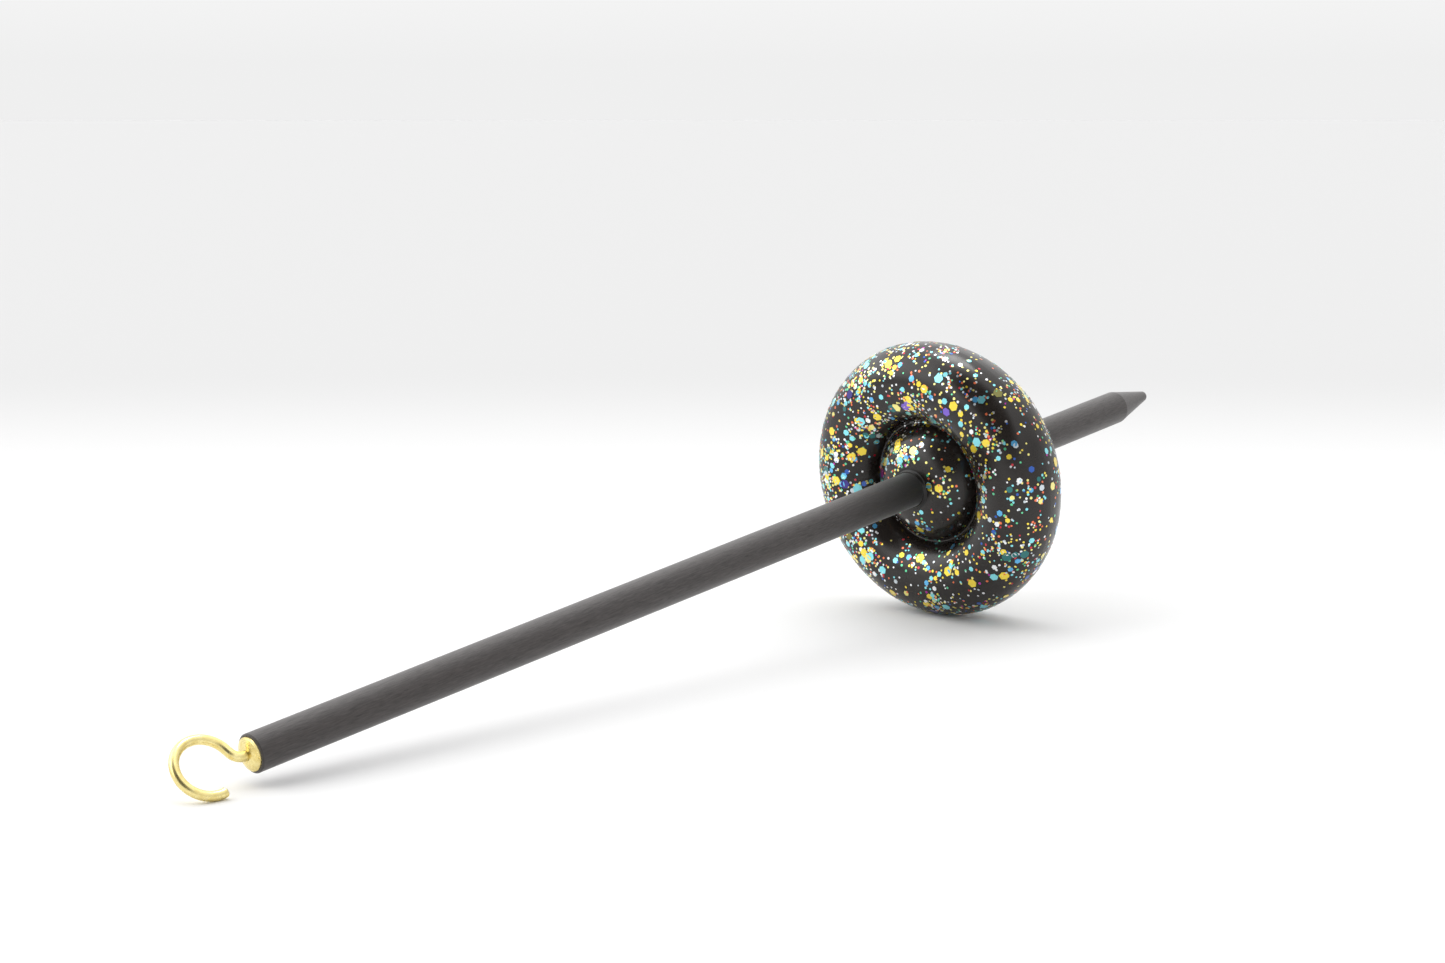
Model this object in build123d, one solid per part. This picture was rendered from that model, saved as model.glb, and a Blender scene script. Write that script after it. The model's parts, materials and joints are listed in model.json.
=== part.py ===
from build123d import *
import math
import os

# Bottom-whorl drop spindle, lying down as it is put aside: it rests on the rim of
# its whorl and on its hook. Millimetres, +Z up, +X from the hook to the foot along
# the shaft's run on the table, the origin on the table under the middle of its box.

# ---- driving dimensions ----------------------------------------------------------
SHAFT_R = 4.35               # straight part of the shaft, round the whorl
SHAFT_LEN = 304.8            # 12 inches, from the hook end to the foot
HOOK_END_R = 3.95            # the shaft thins slightly towards the hook
THINNING_LEN = 190.0         # from the hook end to where the shaft is at its full radius
FOOT_TAPER = 14.6            # length of the pointed foot
FOOT_TIP_R = 1.25            # blunt end of the point
FOOT_TIP_ROUND = 0.6
HOOK_END_CHAMFER = 0.25
SEAT_LEN = 15.0              # sanded down under the whorl, to key the adhesive
SEAT_R = 4.15

WHORL_R = 34.8               # outside radius of the cast ring
WHORL_BACK = 219.0           # flat back of the whorl, from the hook end
RING_MID_R = 25.0            # centre of the ring's round section
RING_MID_H = 8.6             # height of that centre above the flat back
BACK_EDGE_R = 31.9           # radius of the flat back
BACK_EDGE_ROUND = 0.4
RING_FOOT_ANGLE = 171.0      # how far round its section the ring runs, down to the hub's foot
GROOVE_ROUND = 0.4           # rounding between the ring and the hub
HUB_SHOULDER_R = 11.4        # a point half way up the hub's dome
HUB_SHOULDER_H = 15.9
HUB_TOP_H = 18.4             # height of the dome at the bore
BORE_R = 4.55

GLUE_BEAD_R = 5.3            # bead of adhesive round the shaft, on the hub
GLUE_BEAD_H = 0.7

WIRE_R = 1.0                 # brass wire of a small cup hook
WIRE_END_ROUND = 0.3
LOOP_R = 6.0                 # centreline of the loop
LOOP_REACH = 9.8             # the loop's centre beyond the end of the shaft
LOOP_OFFSET = 0.78           # the loop's centre off the shaft's axis, on its closed side
LOOP_SWEEP = 260.0           # how far round the loop runs from the neck to its cut end
LOOP_LEAN = 43.0             # how far the loop leans off upright, turned about the shaft
NECK_ANGLE = 70.0            # how far the neck turns off the axis before the loop
NECK_R = 2.6
SHANK_LEN = 12.0             # screwed into the shaft
SHANK_POINT = 2.0
SHANK_CORE_R = 0.8
THREAD_R = 1.0
THREAD_PITCH = 0.9
THREAD_START = 1.6
THREAD_LEN = 8.0
PILOT_R = 1.05
PILOT_LEN = 12.4

FLANGE_R = 3.4               # pressed brass flange on the hook
FLANGE_H = 1.1
FLANGE_SHEET = 0.35
FLANGE_BORE_R = 1.05


# ---- pieces, each laid along X from the hook end of the shaft -----------------------
def turned(outline):
    """A solid turned about the X axis from a closed outline in the XY plane."""
    return revolve(make_face(outline), Axis.X)


def corners(*points):
    """A closed outline through (distance along X, radius) corners."""
    return Polyline(*points, close=True)


def make_shaft():
    """Turned shaft with a pilot hole for the hook, a seat for the whorl and a pointed, blunt foot."""
    seat = WHORL_BACK - SEAT_LEN
    foot = SHAFT_LEN - FOOT_TAPER
    stick = turned(corners(
        (0, 0), (0, HOOK_END_R), (THINNING_LEN, SHAFT_R), (seat, SHAFT_R), (seat, SEAT_R),
        (WHORL_BACK, SEAT_R), (WHORL_BACK, SHAFT_R), (foot, SHAFT_R), (SHAFT_LEN, FOOT_TIP_R), (SHAFT_LEN, 0)))
    rims = stick.edges().filter_by(GeomType.CIRCLE).sort_by(Axis.X)
    stick = chamfer(rims[0], HOOK_END_CHAMFER)
    rims = stick.edges().filter_by(GeomType.CIRCLE).sort_by(Axis.X)
    stick = fillet(rims[-1], FOOT_TIP_ROUND)
    pilot = turned(corners((-1, 0), (-1, PILOT_R), (PILOT_LEN - PILOT_R, PILOT_R), (PILOT_LEN, 0)))
    return stick - pilot


def whorl_point(radius, height):
    """A point of the whorl's outline from its radius and its height above the back."""
    return (WHORL_BACK - height, radius)


def ring_point(angle):
    """A point of the ring's round section: 0 is the rim, 90 the crest."""
    section_r = WHORL_R - RING_MID_R
    turn = math.radians(angle)
    return whorl_point(RING_MID_R + section_r * math.cos(turn), RING_MID_H + section_r * math.sin(turn))


def rim_of(solid, radius):
    """The round edges of a turned solid that have this radius."""
    return solid.edges().filter_by(GeomType.CIRCLE).filter_by(lambda edge: abs(edge.radius - radius) < 0.01)


def make_whorl():
    """Cast ring with a domed hub in its middle, flat where the mould was open."""
    draft = WHORL_R - BACK_EDGE_R
    wall_r = (draft**2 + RING_MID_H**2) / (2 * draft)
    half_turn = math.asin(RING_MID_H / wall_r) / 2
    wall_mid = whorl_point(WHORL_R - wall_r * (1 - math.cos(half_turn)), RING_MID_H - wall_r * math.sin(half_turn))
    back_edge = whorl_point(BACK_EDGE_R, 0)
    hub_top = whorl_point(BORE_R, HUB_TOP_H)
    ring_foot = ring_point(RING_FOOT_ANGLE)
    outline = Curve() + [
        Line(whorl_point(BORE_R, 0), back_edge),
        ThreePointArc(back_edge, wall_mid, ring_point(0)),
        ThreePointArc(ring_point(0), ring_point(RING_FOOT_ANGLE / 2), ring_foot),
        ThreePointArc(ring_foot, whorl_point(HUB_SHOULDER_R, HUB_SHOULDER_H), hub_top),
        Line(hub_top, whorl_point(BORE_R, 0)),
    ]
    casting = turned(outline)
    casting = fillet(rim_of(casting, BACK_EDGE_R), BACK_EDGE_ROUND)
    return fillet(rim_of(casting, ring_foot[1]), GROOVE_ROUND)


def make_glue_line(shaft, whorl):
    """Cured adhesive: a thin sleeve in the whorl's bore with a bead round the shaft."""
    front = WHORL_BACK - HUB_TOP_H
    bead = ThreePointArc(
        (front - GLUE_BEAD_H, SHAFT_R),
        (front - GLUE_BEAD_H / 3, SHAFT_R + (GLUE_BEAD_R - SHAFT_R) / 3),
        (front, GLUE_BEAD_R))
    blank = turned(Curve() + [
        Line((WHORL_BACK, 0), (front - GLUE_BEAD_H, 0)),
        Line((front - GLUE_BEAD_H, 0), (front - GLUE_BEAD_H, SHAFT_R)),
        bead,
        Line((front, GLUE_BEAD_R), (WHORL_BACK, GLUE_BEAD_R)),
        Line((WHORL_BACK, GLUE_BEAD_R), (WHORL_BACK, 0)),
    ])
    return blank - whorl - shaft


def make_hook():
    """Brass wire bent into a loop, with a wood-screw thread on its straight end."""
    turn = math.radians(NECK_ANGLE)
    loop_mid = (-LOOP_REACH, LOOP_OFFSET)
    loop_start = (loop_mid[0] + LOOP_R * math.sin(turn), loop_mid[1] + LOOP_R * math.cos(turn))
    bend = loop_start[0] + loop_start[1] / math.tan(turn)
    setback = NECK_R * math.tan(turn / 2)
    neck_start = (bend + setback, 0)
    neck_end = (bend - setback * math.cos(turn), setback * math.sin(turn))
    flat_path = Curve() + [
        Line((0, 0), neck_start),
        CenterArc((neck_start[0], NECK_R), NECK_R, 270 - NECK_ANGLE, NECK_ANGLE),
        Line(neck_end, loop_start),
        CenterArc(loop_mid, LOOP_R, 90 - NECK_ANGLE, LOOP_SWEEP),
    ]
    path = Wire((Plane.XZ * flat_path).edges())
    wire = sweep(Plane.YZ * Circle(WIRE_R), path=path)
    tail = wire.edges().filter_by(GeomType.CIRCLE).sort_by(Axis.Z)[0]
    wire = fillet(tail, WIRE_END_ROUND)
    shank = turned(corners((0, 0), (0, WIRE_R), (THREAD_START - 0.3, WIRE_R), (THREAD_START, SHANK_CORE_R),
                           (SHANK_LEN - SHANK_POINT, SHANK_CORE_R), (SHANK_LEN, 0)))
    return Rot(-LOOP_LEAN, 0, 0) * (wire + shank + make_thread())


def make_thread():
    """Helical ridge of the hook's wood screw."""
    helix = Helix(THREAD_PITCH, THREAD_LEN, SHANK_CORE_R)
    flank = THREAD_PITCH / 3
    root = SHANK_CORE_R - 0.1
    ridge = make_face(corners((root, -flank), (THREAD_R, 0), (root, flank)))
    section = Plane((0, 0, 0), x_dir=(1, 0, 0), z_dir=(0, -1, 0)) * ridge
    thread = sweep(section, path=helix, is_frenet=True)
    return Pos(THREAD_START, 0, 0) * Rot(0, 90, 0) * thread


def make_flange():
    """Thin domed brass flange that closes the hole round the hook's wire."""
    def dome(reach, height):
        rim = min(0.3, height / 3)
        return turned(Curve() + [
            Line((0, 0), (0, reach)),
            Line((0, reach), (-rim, reach)),
            ThreePointArc((-rim, reach), (-height * 0.8, reach * 0.62), (-height, 0)),
            Line((-height, 0), (0, 0)),
        ])

    hollow = dome(FLANGE_R - FLANGE_SHEET, FLANGE_H - FLANGE_SHEET)
    hole = Plane.YZ * Cylinder(FLANGE_BORE_R, 4 * FLANGE_H)
    return dome(FLANGE_R, FLANGE_H) - hollow - hole


# ---- the lying pose -----------------------------------------------------------------
def lowest_of_whorl(tilt):
    """How far the whorl's rim is below the hook end of the shaft's axis."""
    section_r = WHORL_R - RING_MID_R
    reach = WHORL_BACK - RING_MID_H
    return RING_MID_R * math.cos(tilt) + section_r - reach * math.sin(tilt)


def lowest_of_hook(tilt):
    """How far the leaning loop is below the hook end of the shaft's axis."""
    upright = math.cos(math.radians(LOOP_LEAN))
    drop = LOOP_R * math.hypot(math.sin(tilt), math.cos(tilt) * upright) + WIRE_R
    return drop + LOOP_REACH * math.sin(tilt) - LOOP_OFFSET * upright * math.cos(tilt)


def resting_tilt():
    """The shaft's tilt, in radians, at which the whorl and the hook both touch down."""
    low, high = 0.0, math.radians(30)
    for _ in range(50):
        middle = (low + high) / 2
        if lowest_of_whorl(middle) > lowest_of_hook(middle):
            low = middle
        else:
            high = middle
    return low


shaft = make_shaft()
whorl = make_whorl()
pieces = {
    "shaft": shaft,
    "whorl": whorl,
    "glue_line": make_glue_line(shaft, whorl),
    "hook": make_hook(),
    "hook_flange": make_flange(),
}
tilt = resting_tilt()
lie_down = Pos(0, 0, lowest_of_hook(tilt)) * Rot(0, -math.degrees(tilt), 0)
box = Compound([lie_down * piece for piece in pieces.values()]).bounding_box()
lie_down = Pos(-(box.min.X + box.max.X) / 2, 0, 0) * lie_down
print(f"tilt {math.degrees(tilt):.3f} deg, box {box.size}, hook end at {lie_down.position}")

os.makedirs("parts", exist_ok=True)
for name, piece in pieces.items():
    export_step(lie_down * piece, f"parts/{name}.step")
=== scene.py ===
# %% [markdown]
# # A drop spindle with a glitter whorl
#
# The real object is a hand tool for spinning yarn: a stained wooden stick, a ring of black casting resin
# full of glitter, and a small brass hook. Its measured shape comes from the CAD model, which is loaded
# here as a fixed frame and is never moved. Blender adds what the frame lacks: the finish of each surface,
# and the glitter as real flakes.

# %% Load the frame
import json
import math
import random

import bmesh
import bpy
from mathutils import Matrix, Vector
from mathutils.bvhtree import BVHTree


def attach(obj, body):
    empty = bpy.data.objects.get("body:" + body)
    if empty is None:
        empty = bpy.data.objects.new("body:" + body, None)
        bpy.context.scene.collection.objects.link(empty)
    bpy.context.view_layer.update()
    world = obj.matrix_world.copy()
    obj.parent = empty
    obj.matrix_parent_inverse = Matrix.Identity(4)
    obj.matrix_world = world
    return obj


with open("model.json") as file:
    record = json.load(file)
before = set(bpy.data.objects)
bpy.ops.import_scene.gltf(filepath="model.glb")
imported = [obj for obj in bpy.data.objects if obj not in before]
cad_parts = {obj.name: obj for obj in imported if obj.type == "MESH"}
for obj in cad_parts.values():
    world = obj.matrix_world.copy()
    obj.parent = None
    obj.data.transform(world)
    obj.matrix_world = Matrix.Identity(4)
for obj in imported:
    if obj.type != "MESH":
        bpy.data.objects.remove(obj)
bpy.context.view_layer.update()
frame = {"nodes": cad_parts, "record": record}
nodes = frame["nodes"]
MM = 0.001  # in metres, which are Blender's unit
print("frame nodes:", sorted(nodes))

# %% [markdown]
# ## Helpers
#
# A few small helpers serve every material. One turns a colour picker's hex value into the linear numbers
# that Blender's shaders work with. One adds a node: its settings, the values of its sockets and its links
# are given in one call, so that a material reads from top to bottom like a recipe. A noise's Scale is how
# often it repeats in a metre, so one turns a real size into that number.

# %% Colour and scale helpers
def linear(code):
    """The linear RGBA of an sRGB hex colour."""
    parts = [int(code[i:i + 2], 16) / 255 for i in (1, 3, 5)]
    return tuple(c / 12.92 if c <= 0.04045 else ((c + 0.055) / 1.055) ** 2.4 for c in parts) + (1.0,)


def scale_for(size_mm):
    """The Scale of a pattern whose features are this wide."""
    return 1 / (size_mm * MM)


print("middle grey #808080 is", round(linear("#808080")[0], 3), "in linear light")

# %% Node and material helpers
def add(tree, kind, settings=None, links=None):
    """A new node with its settings and links.

    A setting in lower case is the node's own, and any other is the value of a socket. A node's data_type
    comes first, because it decides which sockets there are. Sockets that share a name, as on a Math node,
    are called by their place.
    """
    node = tree.nodes.new("ShaderNode" + kind)
    for key, value in (settings or {}).items():
        if isinstance(key, str) and key.islower():
            setattr(node, key, value)
        else:
            node.inputs[key].default_value = value
    for key, source in (links or {}).items():
        tree.links.new(source, node.inputs[key])
    return node


def new_material(name, settings):
    """A material with one Principled shader, and its node tree and shader."""
    material = bpy.data.materials.new(name)
    material.use_nodes = True
    tree = material.node_tree
    tree.nodes.clear()
    shader = add(tree, "BsdfPrincipled", settings)
    add(tree, "OutputMaterial", links={"Surface": shader.outputs["BSDF"]})
    return material, tree, shader


def join(tree, shader, colour, rough, bump):
    """Lead a colour Mix, a Map Range for the roughness and a Bump into the shader."""
    tree.links.new(colour.outputs["Result"], shader.inputs["Base Color"])
    tree.links.new(rough.outputs["Result"], shader.inputs["Roughness"])
    tree.links.new(bump.outputs["Normal"], shader.inputs["Normal"])


def dress(piece, material):
    """Give a piece one material."""
    piece.data.materials.clear()
    piece.data.materials.append(material)


print("helpers: add, new_material, join, dress")

# %% [markdown]
# ## The shaft's own axis
#
# The spindle lies tilted, on its whorl's rim and its hook. Wood grain, turned rings and the glitter all
# follow the shaft's axis and not the table, so every such pattern starts from that axis. The record's foot
# mount is a pin on it, and gives a point and a direction. A Mapping node of the Texture type takes a place,
# a turn and a size, and gives coordinates in which X runs along the shaft and one unit is one size of the
# pattern.

# %% Read the axis
pin = next(m for m in frame["record"]["mounts"] if m["name"] == "foot_pin")
AXIS_POINT = Vector(pin["pos_m"])
AXIS = Vector(pin["axis"]).normalized()
TILT = math.atan2(AXIS.z, AXIS.x)
print(f"shaft axis rises {math.degrees(TILT):.2f} degrees")


def along_shaft(tree, long_mm, wide_mm):
    """Coordinates along the shaft, where one unit is long_mm along it and wide_mm across it."""
    place = add(tree, "TexCoord")
    return add(tree, "Mapping",
               {"vector_type": "TEXTURE", "Location": AXIS_POINT, "Rotation": (0, -TILT, 0),
                "Scale": (long_mm * MM, wide_mm * MM, wide_mm * MM)},
               {"Vector": place.outputs["Object"]}).outputs["Vector"]


# %% [markdown]
# ## Stained hardwood
#
# The shaft is a birch or maple stick that was planed round, sanded and wiped with a charcoal stain. There
# is no varnish, so the eye sees a dull dark grey with fine long streaks. An image of wood would have to be
# wrapped round the stick and would show a seam, so the grain is noise that is stretched along the shaft:
# one noise for the fibres, one for the slow drift of colour, and one for the short dark pores. Real fibres
# and pores are a few hundredths of a millimetre wide and wouldn't show, so they are drawn coarse: fibres
# 0.3 mm wide and 3 mm long, and pores 0.16 mm wide and 2.4 mm long. The drift is 2.2 mm by 45 mm. Bare
# wood reflects little and has a faint fuzz, which a low specular level and some sheen give.

# %% Wood patterns
wood, tree, shader = new_material("stained_hardwood_dowel", {
    "IOR": 1.5, "Specular IOR Level": 0.28, "Sheen Weight": 0.3, "Sheen Roughness": 0.5})
fibre = add(tree, "TexNoise", {"Scale": 1.0, "Detail": 5.0, "Roughness": 0.66},
            {"Vector": along_shaft(tree, 3, 0.3)})
drift = add(tree, "TexNoise", {"Scale": 1.0, "Detail": 3.0, "Roughness": 0.5},
            {"Vector": along_shaft(tree, 45, 2.2)})
pores = add(tree, "TexNoise", {"Scale": 1.0, "Detail": 1.0}, {"Vector": along_shaft(tree, 2.4, 0.16)})
fibre_share = add(tree, "MapRange", {"From Min": 0.25, "From Max": 0.75}, {"Value": fibre.outputs["Fac"]})
warm_share = add(tree, "MapRange", {"From Min": 0.35, "From Max": 0.7, "To Max": 0.3},
                 {"Value": drift.outputs["Fac"]})
pore_share = add(tree, "MapRange", {"From Min": 0.62, "From Max": 0.72, "To Max": 0.5},
                 {"Value": pores.outputs["Fac"]})
print("wood: 3 stretched noises")

# %% [markdown]
# The stain sinks into the pores and leaves the hard ridges between the fibres a little paler. Next to the
# whorl the colour also holds painted shade: the wood is darkest on both sides of the whorl, in place of the
# whorl's shadow and the dark resin that the wood reflects, and fades to its own tone over a few
# centimetres.
# That needs the distance from the middle of the whorl, which is the X of the shaft's coordinates less the X
# of that middle, with its sign taken off.

# %% Wood colours
WHORL_MID_MM = -44.0  # along the shaft, from the foot mount's point
# The painted shade is full up to the first distance and gone beyond the second.
DARK_TO_MM, PLAIN_FROM_MM = 8.0, 52.0  # distances from the middle of the whorl

grain = add(tree, "Mix", {"data_type": "RGBA", "A": linear("#2b2827"), "B": linear("#4d4847")},
            {"Factor": fibre_share.outputs["Result"]})
warm = add(tree, "Mix", {"data_type": "RGBA", "B": linear("#423b39")},
           {"Factor": warm_share.outputs["Result"], "A": grain.outputs["Result"]})
stain_and_painted_shade = add(tree, "Mix", {"data_type": "RGBA", "B": linear("#191817")},
            {"Factor": pore_share.outputs["Result"], "A": warm.outputs["Result"]})
along = add(tree, "SeparateXYZ", links={"Vector": along_shaft(tree, 1, 1)})
from_whorl = add(tree, "Math", {"operation": "SUBTRACT", 1: WHORL_MID_MM}, {0: along.outputs["X"]})
distance = add(tree, "Math", {"operation": "ABSOLUTE"}, {0: from_whorl.outputs["Value"]})
# Painted shade: this share is highest next to the whorl and fades out by 52 mm from its middle, in place of
# the whorl's shadow and reflection on the wood.
near_share = add(tree, "MapRange", {"interpolation_type": "SMOOTHSTEP", "From Min": DARK_TO_MM,
                                  "From Max": PLAIN_FROM_MM, "To Min": 1.0, "To Max": 0.0},
               {"Value": distance.outputs["Value"]})
# Painted shade, the fifth tone: #0b0a0a is mixed into the wood's colour next to the whorl.
stain_and_painted_shade = add(tree, "Mix", {"data_type": "RGBA", "B": linear("#0b0a0a")},
            {"Factor": near_share.outputs["Result"], "A": stain_and_painted_shade.outputs["Result"]})
print("wood: 5 tones of stain")

# %% Wood surface
rough = add(tree, "MapRange", {"From Min": 0.3, "From Max": 0.7, "To Min": 0.62, "To Max": 0.46},
            {"Value": fibre.outputs["Fac"]})
relief = add(tree, "Math", {"operation": "SUBTRACT"},
             {0: fibre.outputs["Fac"], 1: pore_share.outputs["Result"]})
bump = add(tree, "Bump", {"Strength": 0.35, "Distance": 0.05 * MM}, {"Height": relief.outputs["Value"]})
join(tree, shader, stain_and_painted_shade, rough, bump)
dress(nodes["shaft"], wood)
print("shaft:", wood.name)

# %% [markdown]
# ## Black casting resin
#
# The whorl is epoxy resin that was dyed black and poured into a silicone mould. A cast surface is as smooth
# as its mould: glossy, with a faint wave about 9 mm long that bends the reflections, a finer unevenness of
# 0.8 mm, and patches of about 7 mm that are duller where the mould was handled. The colour is nearly black
# all over, so the gloss has to carry the look: noise drives the roughness and two very low bumps.

# %% Resin material
resin, tree, shader = new_material("cast_black_epoxy_resin", {"IOR": 1.47})
place = add(tree, "TexCoord").outputs["Object"]
patches = add(tree, "TexNoise", {"Scale": scale_for(7), "Detail": 4.0, "Roughness": 0.6}, {"Vector": place})
wave = add(tree, "TexNoise", {"Scale": scale_for(9), "Detail": 2.0, "Roughness": 0.4}, {"Vector": place})
skin = add(tree, "TexNoise", {"Scale": scale_for(0.8), "Detail": 2.0}, {"Vector": place})
black = add(tree, "Mix", {"data_type": "RGBA", "A": linear("#161210"), "B": linear("#241e1a")},
            {"Factor": patches.outputs["Fac"]})
rough = add(tree, "MapRange", {"From Min": 0.3, "From Max": 0.75, "To Min": 0.16, "To Max": 0.36},
            {"Value": patches.outputs["Fac"]})
slow = add(tree, "Bump", {"Strength": 0.35, "Distance": 0.25 * MM}, {"Height": wave.outputs["Fac"]})
fine = add(tree, "Bump", {"Strength": 0.25, "Distance": 0.02 * MM},
           {"Height": skin.outputs["Fac"], "Normal": slow.outputs["Normal"]})
join(tree, shader, black, rough, fine)
dress(nodes["whorl"], resin)
print("whorl:", resin.name)

# %% [markdown]
# ## Cured adhesive
#
# A little clear glue was squeezed out where the shaft enters the hub. It cures to a glossy bead, and looks
# dark because the wood and resin behind it are. A see-through shader would be true to it, but slow and
# noisy for so thin a bead, so it gets a smooth dark surface with a ripple of 1.6 mm, which breaks its glint
# as the real one's does.

# %% Adhesive material
glue, tree, shader = new_material("cured_clear_adhesive", {"IOR": 1.5, "Specular IOR Level": 0.35})
ripple = add(tree, "TexNoise", {"Scale": scale_for(1.6), "Detail": 2.0},
             {"Vector": add(tree, "TexCoord").outputs["Object"]})
tint = add(tree, "Mix", {"data_type": "RGBA", "A": linear("#0f0e0d"), "B": linear("#1d1b18")},
           {"Factor": ripple.outputs["Fac"]})
rough = add(tree, "MapRange", {"To Min": 0.1, "To Max": 0.28}, {"Value": ripple.outputs["Fac"]})
bump = add(tree, "Bump", {"Strength": 0.5, "Distance": 0.12 * MM}, {"Height": ripple.outputs["Fac"]})
join(tree, shader, tint, rough, bump)
dress(nodes["glue_line"], glue)
print("glue line:", glue.name)

# %% [markdown]
# ## Drawn and pressed brass
#
# The hook is brass wire that was pulled through a die and bent, and its flange is a cap pressed from brass
# sheet. Both are bright and pale, with a thin film of handling marks. Metal colour lives in the reflection,
# so the shader is fully metallic and keeps the default IOR. The wire has soft smudges of roughness about
# 1.3 mm wide. The cap also has faint rings round the shaft's axis, 0.4 mm apart, as turning on a lathe
# leaves them. Real ones are finer, but those would not show.

# %% Brass materials
WAVE_LENGTH = 0.314  # at a scale of 1, a Wave texture repeats after this many units


def brass(name, ring_mm):
    """Bright brass with smudges, and with turned rings ring_mm apart if that isn't 0."""
    material, tree, shader = new_material(name, {"Metallic": 1.0})
    smudge = add(tree, "TexNoise", {"Scale": scale_for(1.3), "Detail": 4.0, "Roughness": 0.65},
                 {"Vector": add(tree, "TexCoord").outputs["Object"]})
    share = add(tree, "MapRange", {"From Min": 0.3, "From Max": 0.7}, {"Value": smudge.outputs["Fac"]})
    tone = add(tree, "Mix", {"data_type": "RGBA", "A": linear("#f2e4a6"), "B": linear("#e0cb80")},
               {"Factor": share.outputs["Result"]})
    rough = add(tree, "MapRange", {"To Min": 0.21, "To Max": 0.34}, {"Value": share.outputs["Result"]})
    height = smudge
    if ring_mm:
        height = add(tree, "TexWave", {"wave_type": "RINGS", "rings_direction": "X", "Scale": WAVE_LENGTH,
                                       "Distortion": 0.3},
                     {"Vector": along_shaft(tree, ring_mm, ring_mm)})
    bump = add(tree, "Bump", {"Strength": 0.3, "Distance": 0.02 * MM}, {"Height": height.outputs["Fac"]})
    join(tree, shader, tone, rough, bump)
    return material


dress(nodes["hook"], brass("drawn_brass_wire", 0))
dress(nodes["hook_flange"], brass("pressed_brass_sheet", 0.4))
print("hook and flange: brass")

# %% [markdown]
# ## Glitter
#
# Craft glitter is metallised film that is punched into hexagons. A mixed bag holds fine dots of about
# 0.6 mm, medium flakes of 1.5 mm and large ones of 2.4 mm, each in several colours. It could be painted
# with a Voronoi texture, but painted flakes have no edges and no tilt, and each real flake catches the
# light in its own way. So each flake is a thin hexagonal plate that lies at the resin's surface, on a
# random turn and a slight tilt. One mesh holds all the flakes of one colour, and each has only eight faces.
#
# To scatter them evenly, a triangle of the whorl's mesh is drawn by its area, and then a point in it. The
# flake lies on the shading normal there, which blends the normals of the triangle's corners.

# %% Sample the whorl's surface
whorl_mesh = nodes["whorl"].data
whorl_mesh.calc_loop_triangles()
triangles = list(whorl_mesh.loop_triangles)
corner_normals = [n.vector.copy() for n in whorl_mesh.corner_normals]
surface = BVHTree.FromPolygons([v.co.copy() for v in whorl_mesh.vertices],
                               [tuple(t.vertices) for t in triangles])
rising_area = []
total = 0.0
for triangle in triangles:
    total += triangle.area
    rising_area.append(total)
print(f"whorl surface {total * 1e4:.1f} cm2 in {len(triangles)} triangles")


def smooth_normal(point, index):
    """The shading normal at a point of one triangle."""
    triangle = triangles[index]
    a, b, c = (whorl_mesh.vertices[i].co for i in triangle.vertices)
    whole = (b - a).cross(c - a).length or 1.0
    shares = [(b - point).cross(c - point).length / whole, (c - point).cross(a - point).length / whole]
    shares.append(max(0.0, 1 - sum(shares)))
    blended = sum((corner_normals[i] * s for i, s in zip(triangle.loops, shares)), Vector())
    return blended.normalized()


def random_place(rng):
    """A point anywhere on the whorl, each part of its surface as likely as its area."""
    index = rng.choices(range(len(triangles)), cum_weights=rising_area)[0]
    a, b, c = (whorl_mesh.vertices[i].co for i in triangles[index].vertices)
    u, v = rng.random(), rng.random()
    if u + v > 1:
        u, v = 1 - u, 1 - v
    point = a + (b - a) * u + (c - a) * v
    return point, smooth_normal(point, index)


# %% [markdown]
# The mix is what a maker would write on the jar: for each size, how many flakes, how wide they are in mm,
# how many degrees they tilt, how many mm they lift off the resin, what share of them gathers in drifts, and
# how many parts of each colour there are.

# %% The mix
TONES = {
    "white": "#f6f8fa", "silver": "#c9d3da", "pale_gold": "#f6ec8c", "gold": "#fbdf45",
    "orange": "#ee784c", "red": "#cd2a3c", "green": "#62d09a", "cyan": "#8ae4ee", "sky": "#5cb2e6",
    "blue": "#285ab4", "violet": "#785ac8", "indigo": "#322882", "magenta": "#be28aa", "teal": "#1e6e6e",
    "olive": "#6d6a28",
}
SIZES = {
    "fine": dict(count=6400, width=(0.46, 0.76), tilt=7.0, near_share=0.6, lift=(0.012, 0.03),
                 mix={"white": 16, "silver": 11, "pale_gold": 17, "gold": 12, "orange": 14, "red": 5,
                      "green": 8, "cyan": 13, "blue": 3, "magenta": 1}),
    "medium": dict(count=600, width=(1.2, 1.75), tilt=3.5, near_share=0.5, lift=(0.015, 0.035),
                   mix={"cyan": 28, "sky": 12, "gold": 24, "pale_gold": 8, "white": 12, "silver": 6,
                        "blue": 6, "teal": 4}),
    "large": dict(count=170, width=(2.1, 2.6), tilt=1.5, near_share=0.55, lift=(0.02, 0.04),
                  mix={"gold": 52, "pale_gold": 6, "cyan": 22, "violet": 4, "magenta": 3, "teal": 4,
                       "indigo": 3, "olive": 3}),
}
THICK_MM = 0.03
print(sum(batch["count"] for batch in SIZES.values()), "flakes in", len(TONES), "tones")

# %% [markdown]
# The flakes gather in drifts, because the mould was turned while the resin set. So two hundred places are
# drawn first, half of the flakes or a little more fall near one of them, and the rest fall anywhere. They
# lie closer together on one side of the whorl than on the other, and further apart in the groove round the
# hub, which is too tight for large ones. The bore and the glue carry none.

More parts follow.
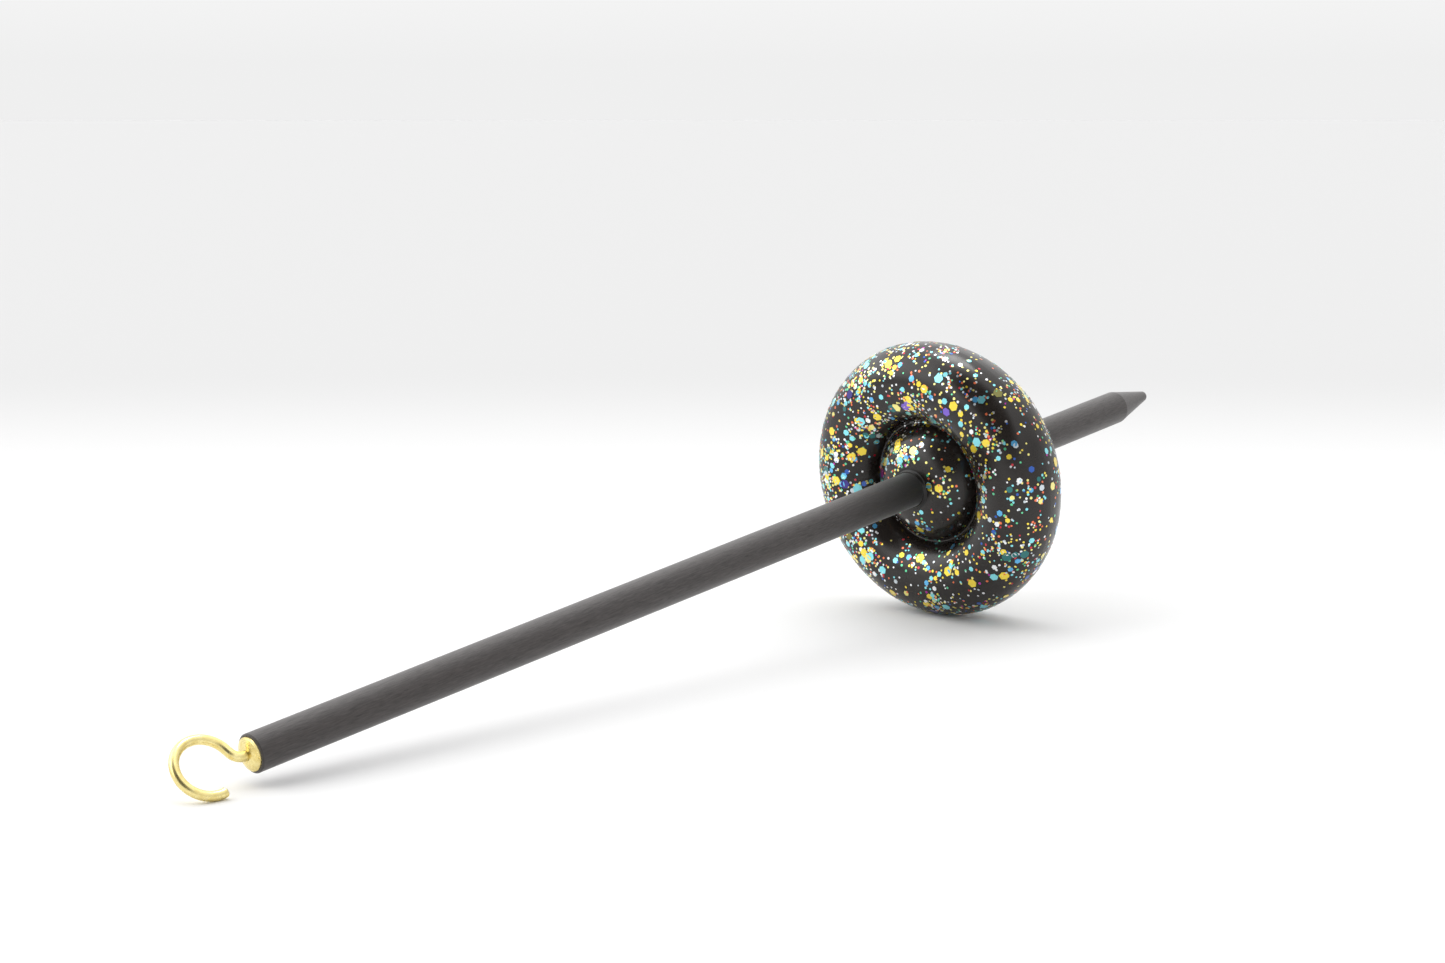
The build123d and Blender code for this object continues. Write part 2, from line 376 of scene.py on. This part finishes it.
# %% Choose where flakes may lie
DRIFTS = 200
BEAD_EDGE_MM = 5.6  # how far the glue reaches from the axis
GROOVE_MM = (12.6, 17.6)  # the groove's two edges, also from the axis
FACES_FRONT, FACES_AXIS = 0.2, -0.9  # cosines
SIDE = Vector((0, 1, 0))
UP = AXIS.cross(SIDE)
DENSE_WAY = (SIDE * 0.8 + UP * 0.6).normalized()
MIDDLE_SHARE, SHARE_SWING, GROOVE_SHARE = 0.76, 0.24, 0.55
rng = random.Random(20)


def polar(point):
    """Distance from the shaft's axis in mm, and the unit direction from the axis to the point."""
    out = point - AXIS_POINT
    out -= AXIS * out.dot(AXIS)
    return out.length / MM, out.normalized()


def welcome(point, normal, size):
    """May a flake of this size lie here? The place decides first, and then luck."""
    radius, out = polar(point)
    if radius < BEAD_EDGE_MM or normal.dot(out) < FACES_AXIS:
        return False
    in_groove = normal.dot(AXIS) < FACES_FRONT and GROOVE_MM[0] < radius < GROOVE_MM[1]
    if size == "large" and in_groove:
        return False
    share = MIDDLE_SHARE + SHARE_SWING * out.dot(DENSE_WAY)
    if in_groove:
        share *= GROOVE_SHARE
    return rng.random() < share


drift_places = []
while len(drift_places) < DRIFTS:
    point, normal = random_place(rng)
    if welcome(point, normal, "fine"):
        drift_places.append(point)
print("drifts:", len(drift_places))

# %% Drop the flakes
SPREAD_MM = 1.9  # how far flakes lie from the middle of their drift, as a standard deviation
heaps = {tone: bmesh.new() for tone in TONES}


def near_place(point, rng):
    """The surface point nearest to a random step away from point."""
    step = Vector(rng.gauss(0, SPREAD_MM * MM) for _ in range(3))
    hit, _, index, _ = surface.find_nearest(point + step)
    return hit, smooth_normal(hit, index)


def drop(tone, point, normal, width_mm, tilt, lift_mm):
    """One hexagonal flake, tilted a little, just above the resin."""
    lean = Matrix.Rotation(math.radians(rng.uniform(-tilt, tilt)), 4, "X")
    spin = Matrix.Rotation(rng.uniform(0, math.pi / 3), 4, "Z")
    facing = normal.to_track_quat("Z", "X").to_matrix().to_4x4()
    turn = facing @ Matrix.Rotation(rng.uniform(0, 6.3), 4, "Z")
    place = Matrix.Translation(point + normal * lift_mm * MM)
    bmesh.ops.create_cone(heaps[tone], cap_ends=True, cap_tris=False, segments=6,
                          radius1=width_mm / 2 * MM, radius2=width_mm / 2 * MM, depth=THICK_MM * MM,
                          matrix=place @ turn @ lean @ spin)


for size, batch in SIZES.items():
    made = 0
    while made < batch["count"]:
        if rng.random() < batch["near_share"]:
            point, normal = near_place(rng.choice(drift_places), rng)
        else:
            point, normal = random_place(rng)
        if not welcome(point, normal, size):
            continue
        tone = rng.choices(list(batch["mix"]), weights=list(batch["mix"].values()))[0]
        width_mm = rng.uniform(*batch["width"])
        drop(tone, point, normal, width_mm, batch["tilt"], rng.uniform(*batch["lift"]))
        made += 1
    print(size, "flakes:", made)

# %% [markdown]
# Glitter film is aluminium under a coloured lacquer, so it is a tinted metal beneath a clear coat. A flake
# is too small for a pattern of its own: its colour is one constant per tone, and the tilt of each flake
# does the rest. Noise of 0.3 mm in the roughness keeps the large ones from looking like mirrors.

# %% Glitter pieces and materials
FACES_OF_A_FLAKE = 8

for tone, heap in heaps.items():
    piece_mesh = bpy.data.meshes.new("glitter_" + tone)
    heap.to_mesh(piece_mesh)
    heap.free()
    piece = bpy.data.objects.new("glitter_" + tone, piece_mesh)
    bpy.context.scene.collection.objects.link(piece)
    film, tree, shader = new_material("punched_glitter_film_" + tone, {
        "Base Color": linear(TONES[tone]), "Metallic": 1.0, "Coat Weight": 1.0, "Coat Roughness": 0.06})
    mottle = add(tree, "TexNoise", {"Scale": scale_for(0.3), "Detail": 2.0},
                 {"Vector": add(tree, "TexCoord").outputs["Object"]})
    rough = add(tree, "MapRange", {"To Min": 0.26, "To Max": 0.42}, {"Value": mottle.outputs["Fac"]})
    tree.links.new(rough.outputs["Result"], shader.inputs["Roughness"])
    dress(piece, film)
    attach(piece, "root")
    print(piece.name, len(piece_mesh.polygons) // FACES_OF_A_FLAKE, "flakes")

# %% [markdown]
# ## The table
#
# The spindle lies on a pale sheet of paper that runs on into a pale backdrop. A curved sheet would need
# its bend hidden, so this one is a flat round plane, 30 m in radius, that ends where the world begins. Its
# colour holds a painted pool of light: bright in the middle, it falls off smoothly outwards, as a lit sheet
# does that leaves the light, down to a tone that meets the world's own pale grey with no edge. The fall
# takes 0.62 m away from the viewer, and 2.6 times that to each side.

# %% Make the table
TABLE_RADIUS = 30.0

table_mesh = bpy.data.meshes.new("table")
sheet = bmesh.new()
bmesh.ops.create_circle(sheet, cap_ends=True, cap_tris=False, segments=96, radius=TABLE_RADIUS)
sheet.to_mesh(table_mesh)
sheet.free()
table = bpy.data.objects.new("table", table_mesh)
bpy.context.scene.collection.objects.link(table)
print("table: radius", TABLE_RADIUS, "m")

# %% Table paper
VIEW_HEADING = math.radians(47.2)  # which way the viewer looks, from +Y round towards +X
FALL_REACH, FALL_WIDTH = 0.62, 2.6

paper, tree, shader = new_material("matte_paper_sheet", {"Roughness": 0.9, "Specular IOR Level": 0.1})
oval = add(tree, "Mapping",
           {"vector_type": "TEXTURE", "Rotation": (0, 0, math.pi / 2 - VIEW_HEADING),
            "Scale": (1.0, FALL_WIDTH, 1.0)},
           {"Vector": add(tree, "TexCoord").outputs["Object"]})
reach = add(tree, "VectorMath", {"operation": "LENGTH"}, {0: oval.outputs["Vector"]})
away = add(tree, "MapRange", {"interpolation_type": "SMOOTHSTEP", "From Min": 0.0, "From Max": FALL_REACH},
           {"Value": reach.outputs["Value"]})
# Painted light: the paper's colour is brightest in the middle and darker towards its edge, like a pool of
# light.
tone = add(tree, "Mix", {"data_type": "RGBA", "A": linear("#fbfbfb"), "B": linear("#d7d7d7")},
           {"Factor": away.outputs["Result"]})
tree.links.new(tone.outputs["Result"], shader.inputs["Base Color"])
dress(table, paper)
print("table:", paper.name)

# %% [markdown]
# ## The room's light
#
# Most of the light comes from the room itself, so the world is a soft white room. One even tone would be
# simpler, but black resin shows whatever is round it, and a real room isn't even. This one is pale grey at
# the horizon and brighter higher up. Its right is dimmer and its left is brighter, but only above the
# horizon, so that the backdrop stays even. A dark patch hangs high on the viewer's side, like an unlit
# corner of the ceiling, and the resin and the shaft show it as their darkest band. The world's Generated
# coordinates are the direction of sight, so every share is worked out from that direction.

# %% The room from low to high
HORIZON_STRENGTH, OVERHEAD_STRENGTH = 0.865, 1.55

world = bpy.data.worlds.new("white_room")
bpy.context.scene.world = world
world.use_nodes = True
tree = world.node_tree
tree.nodes.clear()
way = add(tree, "TexCoord").outputs["Generated"]
height = add(tree, "SeparateXYZ", links={"Vector": way}).outputs["Z"]
rise = add(tree, "MapRange", {"From Min": 0.02, "From Max": 0.5, "To Min": HORIZON_STRENGTH,
                              "To Max": OVERHEAD_STRENGTH}, {"Value": height})
print("room:", HORIZON_STRENGTH, "at the horizon and", OVERHEAD_STRENGTH, "overhead")

# %% The dark patch
PATCH_HEADING, PATCH_RISE = math.radians(-122), math.radians(40)
PATCH_EDGE, PATCH_CORE, PATCH_SHARE = math.radians(44), math.radians(24), 0.07
PATCH_WAY = (math.sin(PATCH_HEADING) * math.cos(PATCH_RISE), math.cos(PATCH_HEADING) * math.cos(PATCH_RISE),
             math.sin(PATCH_RISE))

towards_patch = add(tree, "VectorMath", {"operation": "DOT_PRODUCT", 1: PATCH_WAY}, {0: way})
patch = add(tree, "MapRange", {"interpolation_type": "SMOOTHSTEP", "From Min": math.cos(PATCH_EDGE),
                               "From Max": math.cos(PATCH_CORE), "To Min": 1.0, "To Max": PATCH_SHARE},
            {"Value": towards_patch.outputs["Value"]})
print("dark patch towards", tuple(round(v, 2) for v in PATCH_WAY))

# %% The room's two sides
RIGHT_SHARE, LEFT_SHARE = 0.6, 1.8
LEFT_WAY = (math.sin(VIEW_HEADING - math.pi / 2), math.cos(VIEW_HEADING - math.pi / 2), 0)

towards_left = add(tree, "VectorMath", {"operation": "DOT_PRODUCT", 1: LEFT_WAY}, {0: way})
right = add(tree, "MapRange", {"interpolation_type": "SMOOTHSTEP", "From Min": -0.9, "From Max": -0.3,
                               "To Min": RIGHT_SHARE, "To Max": 1.0},
            {"Value": towards_left.outputs["Value"]})
left = add(tree, "MapRange", {"interpolation_type": "SMOOTHSTEP", "From Min": 0.3, "From Max": 0.9,
                              "To Min": 1.0, "To Max": LEFT_SHARE},
           {"Value": towards_left.outputs["Value"]})
both = add(tree, "Math", {"operation": "MULTIPLY"}, {0: right.outputs["Result"], 1: left.outputs["Result"]})
above = add(tree, "MapRange", {"interpolation_type": "SMOOTHSTEP", "From Min": 0.06, "From Max": 0.3},
            {"Value": height})
sides = add(tree, "Mix", {"A": 1.0}, {"Factor": above.outputs["Result"], "B": both.outputs["Value"]})
print("left towards", tuple(round(v, 2) for v in LEFT_WAY))

# %% Join the shares
strength = rise.outputs["Result"]
for share in (patch, sides):
    strength = add(tree, "Math", {"operation": "MULTIPLY"},
                   {0: strength, 1: share.outputs["Result"]}).outputs["Value"]
sky = add(tree, "Background", {"Color": linear("#ffffff")}, {"Strength": strength})
add(tree, "OutputWorld", links={"Surface": sky.outputs["Background"]})
print("room:", len(tree.nodes), "nodes")

# %% [markdown]
# ## The softbox
#
# One square softbox hangs high, a little behind the object, and gives the gloss its highlights. On the
# table it would make a bright pool and a second shadow, so light linking keeps it off the table: a
# collection holds the table, and the lamp leaves that collection out.

# %% Hang the softbox
softbox = bpy.data.lights.new("overhead_softbox", "AREA")
softbox.shape = "SQUARE"
softbox.size = 0.55
softbox.energy = 6.4
SOFTBOX_PLACE, SOFTBOX_AIM = Vector((0.28, 0.25, 1.3)), Vector((0.07, 0, 0))
lamp = bpy.data.objects.new("overhead_softbox", softbox)
lamp.location = SOFTBOX_PLACE
lamp.rotation_mode = "QUATERNION"
lamp.rotation_quaternion = (SOFTBOX_AIM - SOFTBOX_PLACE).to_track_quat("-Z", "Y")
bpy.context.scene.collection.objects.link(lamp)

unlit = bpy.data.collections.new("not_lit_by_the_softbox")
unlit.objects.link(table)
lamp.light_linking.receiver_collection = unlit
unlit.collection_objects[0].light_linking.link_state = "EXCLUDE"
print("softbox:", softbox.size, "m wide,", softbox.energy, "W")

# %% [markdown]
# ## The camera
#
# A long lens stands low on the hook's side and looks along the shaft, a few degrees down, so that the near
# shaft is long and the whorl shows its domed front. Everything is sharp, so depth of field stays off. The
# Standard view keeps the paper as white as it is lit.

# %% Set the camera
CAMERA_PLACE = Vector((-0.39985, -0.35889, 0.12558))
LOOK = Vector((0.72491, 0.67129, -0.15451))
lens = bpy.data.cameras.new("studio_camera")
lens.lens, lens.sensor_width = 59.17, 36.0
lens.clip_start, lens.clip_end = 0.02, 100.0
camera = bpy.data.objects.new("studio_camera", lens)
camera.location = CAMERA_PLACE
camera.rotation_mode = "QUATERNION"
camera.rotation_quaternion = LOOK.to_track_quat("-Z", "Y")
bpy.context.scene.collection.objects.link(camera)
bpy.context.scene.camera = camera
bpy.context.scene.view_settings.view_transform = "Standard"
print("camera:", tuple(round(v, 3) for v in camera.location))
